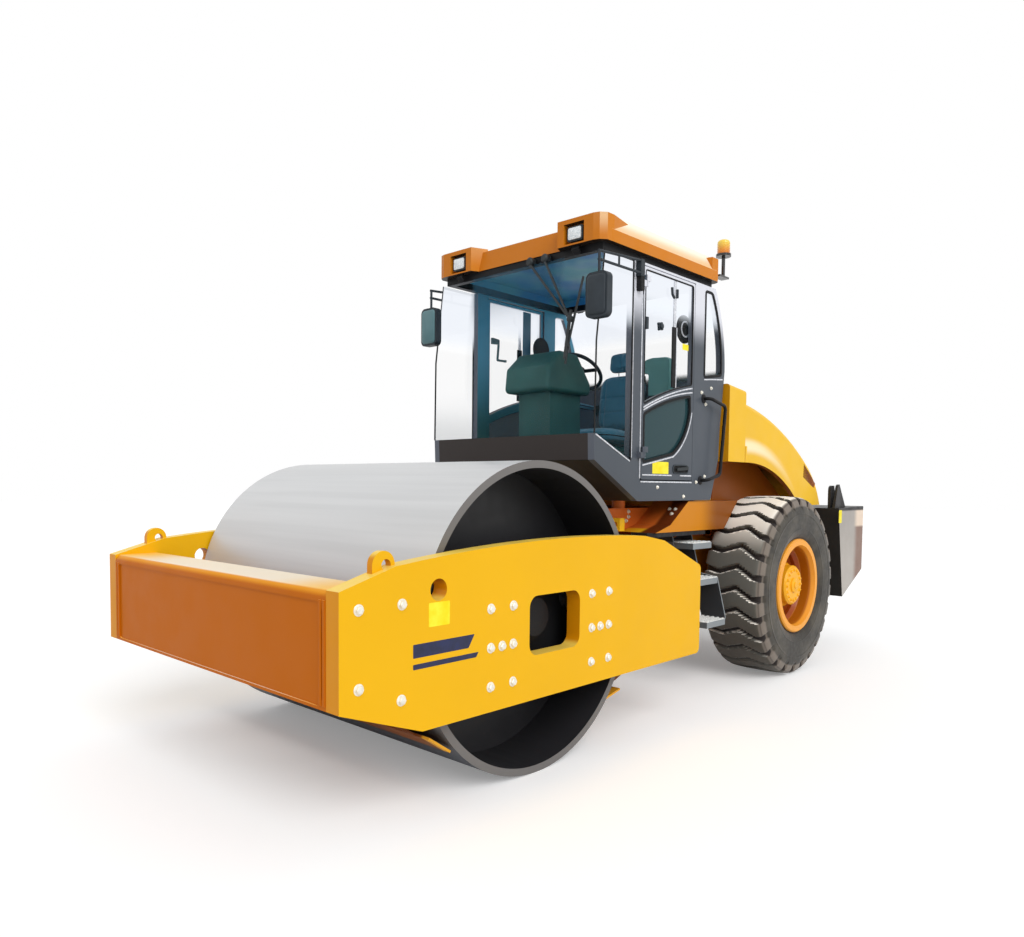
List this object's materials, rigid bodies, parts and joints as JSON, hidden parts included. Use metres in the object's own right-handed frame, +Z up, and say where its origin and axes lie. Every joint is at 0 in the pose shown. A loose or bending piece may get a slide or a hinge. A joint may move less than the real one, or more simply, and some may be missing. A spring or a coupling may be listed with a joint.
{
  "type": "single-drum vibratory road roller",
  "caption": "Articulated single-drum soil roller with smooth steel drum in a plate frame, glazed cab, sloping tilt hood, rubber drive tyres and rear ballast box",
  "frame": {"origin": "on the ground under the middle of the machine, halfway between the front beam face and the rear of the ballast box", "axes": "X forward towards the drum, Y to the left, Z up"},
  "size_m": [6.581, 2.386, 3.4998],
  "materials": {
    "yellow": "gloss",
    "panel_orange": "gloss",
    "roof_orange": "gloss",
    "cab_grey": "satin",
    "black_paint": "satin",
    "drum_steel": "ground",
    "tyre": "matt",
    "rim_paint": "gloss",
    "glass": "tinted",
    "engine": "matt",
    "rubber": "matt",
    "seat_cloth": "matt",
    "dark_plastic": "matt",
    "amber": "gloss",
    "chrome_rod": "polished"
  },
  "bodies": {
    "rear_frame": {"beacon": "amber", "cab_floor": "black_paint", "cab_front_panel": "black_paint", "cab_rear_panel": "cab_grey", "cab_side_left": "cab_grey", "cab_side_right": "cab_grey", "corner_glass": "glass", "counterweight": "black_paint", "deck": "yellow", "engine_block": "engine", "grab_rails": "black_paint", "hood_collar": "yellow", "inner_fenders": "yellow", "mirrors": "dark_plastic", "quarter_glass": "glass", "rear_axle": "black_paint", "rear_frame": "yellow", "rear_glass": "glass", "roof": "roof_orange", "roof_frame": "black_paint", "seat": "seat_cloth", "seat_base": "dark_plastic", "steering_console": "dark_plastic", "steering_wheel": "dark_plastic", "steps": "black_paint", "windscreen": "glass", "work_lamps": "dark_plastic"},
    "front_frame": {"side_plate_left": "yellow", "side_plate_right": "yellow", "front_beam": "panel_orange", "rear_crossmember": "yellow", "drum_carriers": "black_paint", "scrapers": "black_paint", "mount_brackets": "black_paint", "rubber_buffers": "rubber"},
    "drum": {"drum": "drum_steel"},
    "centre_joint": {"centre_joint": "black_paint"},
    "barrel_left": {"steer_barrel_left": "black_paint"},
    "barrel_right": {"steer_barrel_right": "black_paint"},
    "rod_left": {"steer_rod_left": "chrome_rod"},
    "rod_right": {"steer_rod_right": "chrome_rod"},
    "wheel_left": {"tyre_left": "tyre", "rim_left": "rim_paint"},
    "wheel_right": {"tyre_right": "tyre", "rim_right": "rim_paint"},
    "door_left": {"door_left": "cab_grey", "door_glass_left": "glass"},
    "door_right": {"door_right": "cab_grey", "door_glass_right": "glass"},
    "hood": {"hood": "yellow"}
  },
  "joints": [
    {"name": "steer", "type": "hinge", "parent": "rear_frame", "child": "centre_joint", "pos_m": [0.1095, 0, 0.8], "axis": [0, 0, 1], "range_deg": [-33, 33]},
    {"name": "oscillate", "type": "hinge", "parent": "centre_joint", "child": "front_frame", "pos_m": [0.1095, 0, 0.8], "axis": [1, 0, 0], "range_deg": [-10, 10]},
    {"name": "drum_spin", "type": "hinge", "parent": "front_frame", "child": "drum", "pos_m": [1.9095, 0, 0.85], "axis": [0, 1, 0], "continuous": true},
    {"name": "wheel_left_spin", "type": "hinge", "parent": "rear_frame", "child": "wheel_left", "pos_m": [-1.3905, 0.875, 0.746], "axis": [0, 1, 0], "continuous": true},
    {"name": "wheel_right_spin", "type": "hinge", "parent": "rear_frame", "child": "wheel_right", "pos_m": [-1.3905, -0.875, 0.746], "axis": [0, 1, 0], "continuous": true},
    {"name": "door_left_hinge", "type": "hinge", "parent": "rear_frame", "child": "door_left", "pos_m": [0.4685, 0.789, 2.3], "axis": [0, 0, -1], "range_deg": [0, 85]},
    {"name": "door_right_hinge", "type": "hinge", "parent": "rear_frame", "child": "door_right", "pos_m": [0.4685, -0.789, 2.3], "axis": [0, 0, 1], "range_deg": [0, 85]},
    {"name": "hood_hinge", "type": "hinge", "parent": "rear_frame", "child": "hood", "pos_m": [-1.0505, 0, 2.31], "axis": [0, 1, 0], "range_deg": [0, 50]},
    {"name": "barrel_left_swing", "type": "hinge", "parent": "rear_frame", "child": "barrel_left", "pos_m": [-0.6105, 0.32, 0.8], "axis": [0, 0, 1], "range_deg": [-4.8, 4.8]},
    {"name": "rod_left_slide", "type": "slide", "parent": "barrel_left", "child": "rod_left", "axis": [0.996, -0.0898, 0], "range_m": [-0.1483, 0.1483]},
    {"name": "barrel_right_swing", "type": "hinge", "parent": "rear_frame", "child": "barrel_right", "pos_m": [-0.6105, -0.32, 0.8], "axis": [0, 0, 1], "range_deg": [-4.8, 4.8]},
    {"name": "rod_right_slide", "type": "slide", "parent": "barrel_right", "child": "rod_right", "axis": [0.996, 0.0898, 0], "range_m": [-0.1483, 0.1483]}
  ],
  "couplings": [
    {"joint": "barrel_left_swing", "follows": "steer", "ratio": 0.13627},
    {"joint": "rod_left_slide", "follows": "steer", "m_per_rad": -0.25408},
    {"joint": "barrel_right_swing", "follows": "steer", "ratio": 0.13627},
    {"joint": "rod_right_slide", "follows": "steer", "m_per_rad": 0.25408}
  ]
}
